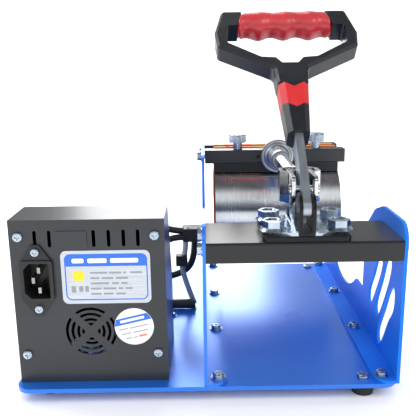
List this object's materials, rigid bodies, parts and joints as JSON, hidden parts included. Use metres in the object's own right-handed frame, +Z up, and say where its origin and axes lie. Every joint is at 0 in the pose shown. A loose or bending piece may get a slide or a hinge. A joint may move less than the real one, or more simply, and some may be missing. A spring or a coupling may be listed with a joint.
{
  "type": "mug heat press",
  "caption": "Bench press that heats and squeezes a transfer onto a mug, with a lever clamp, a split sleeve wrap and a sloping control box.",
  "frame": {"origin": "bottom centre of the whole machine's bounding box, under the rubber feet", "axes": "+X to the right seen from the mains inlet side, along the mug's axis and out of the open end of the wrap; +Y from the mains inlet side towards the control panel side; +Z up"},
  "size_m": [0.2666, 0.255, 0.2659],
  "materials": {
    "blue_panel": "gloss",
    "black_powder": "satin",
    "black_bar": "satin",
    "zinc": "satin",
    "bright_steel": "polished",
    "stainless": "brushed",
    "rubber_black": "matt",
    "handle_plastic": "satin",
    "grip_red": "satin",
    "collar_red": "gloss",
    "silicone": "matt",
    "inlet_plastic": "satin",
    "brass_pin": "polished",
    "label": "satin",
    "sticker": "satin",
    "display": "gloss",
    "button": "gloss",
    "switch": "gloss",
    "board": "satin",
    "nylon": "satin",
    "lead_black": "satin",
    "lead_grey": "satin",
    "terminal": "matt"
  },
  "bodies": {
    "machine": {"base_plate": "blue_panel", "left_side_panel": "blue_panel", "right_side_panel": "blue_panel", "rubber_feet": "rubber_black", "foot_screws": "zinc", "clip_screw": "zinc", "panel_screws": "zinc", "cross_bar_bolts": "zinc", "clamp_bolts": "zinc", "guide_bracket": "zinc", "far_bar_screws": "zinc", "box_screws": "zinc", "inlet_screws": "zinc", "guide_collar": "bright_steel", "guide_bush": "bright_steel", "pivot_pin": "bright_steel", "cross_bar": "black_powder", "clamp_base": "black_powder", "clamp_cheeks": "black_powder", "box_cover": "black_powder", "box_back_panel": "black_powder", "box_front_panel": "black_powder", "blank_plate": "black_powder", "far_bar": "black_bar", "wrap_strip_far": "black_bar", "wrap_band": "stainless", "heater_pad": "silicone", "rating_label": "label", "round_sticker": "sticker", "inlet_shell": "inlet_plastic", "inlet_pins": "brass_pin", "display_window": "display", "switch_frame": "switch", "control_board": "board", "board_posts": "nylon", "terminal_block": "terminal", "lead_connector": "terminal", "upper_lead": "lead_black", "lower_lead": "lead_black", "loop_lead": "lead_black", "lead_sleeve": "lead_black", "wrap_lead": "lead_black", "sensor_lead": "lead_grey"},
    "lever": {"lever": "zinc", "drive_pin": "bright_steel", "handle_rivets": "zinc", "handle_body": "handle_plastic", "handle_grip": "grip_red", "handle_collar": "collar_red"},
    "plunger": {"plunger_rod": "bright_steel", "plunger_foot": "bright_steel"},
    "wrap_bar": {"near_bar": "black_bar", "bar_guide_screw": "zinc", "wrap_strip_near": "black_bar"},
    "thumb_left": {"thumb_screw_left": "zinc"},
    "thumb_right": {"thumb_screw_right": "zinc"},
    "button_left": {"button_left": "button"},
    "button_middle": {"button_middle": "button"},
    "button_right": {"button_right": "button"},
    "rocker": {"power_rocker": "switch"}
  },
  "joints": [
    {"name": "handle_swing", "type": "hinge", "parent": "machine", "child": "lever", "pos_m": [0.06445, -0.1174, 0.1336], "axis": [1, 0, 0], "range_deg": [0, 75]},
    {"name": "plunger_slide", "type": "slide", "parent": "machine", "child": "plunger", "axis": [0, 1, 0], "range_m": [-0.0166, 0]},
    {"name": "bar_squeeze", "type": "slide", "parent": "machine", "child": "wrap_bar", "axis": [0, 1, 0], "range_m": [0, 0.006], "stiffness_N_per_m": 4000, "deforming": ["wrap_band", "heater_pad"]},
    {"name": "thumb_left_turn", "type": "hinge", "parent": "wrap_bar", "child": "thumb_left", "pos_m": [0.02895, 0.047, 0.1555], "axis": [0, 0, 1], "continuous": true},
    {"name": "thumb_right_turn", "type": "hinge", "parent": "wrap_bar", "child": "thumb_right", "pos_m": [0.09995, 0.047, 0.1555], "axis": [0, 0, 1], "continuous": true},
    {"name": "button_left_press", "type": "slide", "parent": "machine", "child": "button_left", "axis": [0, -0.8997, -0.4366], "range_m": [0, 0.0012], "stiffness_N_per_m": 250},
    {"name": "button_middle_press", "type": "slide", "parent": "machine", "child": "button_middle", "axis": [0, -0.8997, -0.4366], "range_m": [0, 0.0012], "stiffness_N_per_m": 250},
    {"name": "button_right_press", "type": "slide", "parent": "machine", "child": "button_right", "axis": [0, -0.8997, -0.4366], "range_m": [0, 0.0012], "stiffness_N_per_m": 250},
    {"name": "rocker_tip", "type": "hinge", "parent": "machine", "child": "rocker", "pos_m": [-0.05155, -0.0485, 0.0355], "axis": [-1, 0, 0], "range_deg": [0, 12]}
  ],
  "couplings": [
    {"joint": "plunger_slide", "follows": "handle_swing", "m_per_rad": -0.0126}
  ]
}
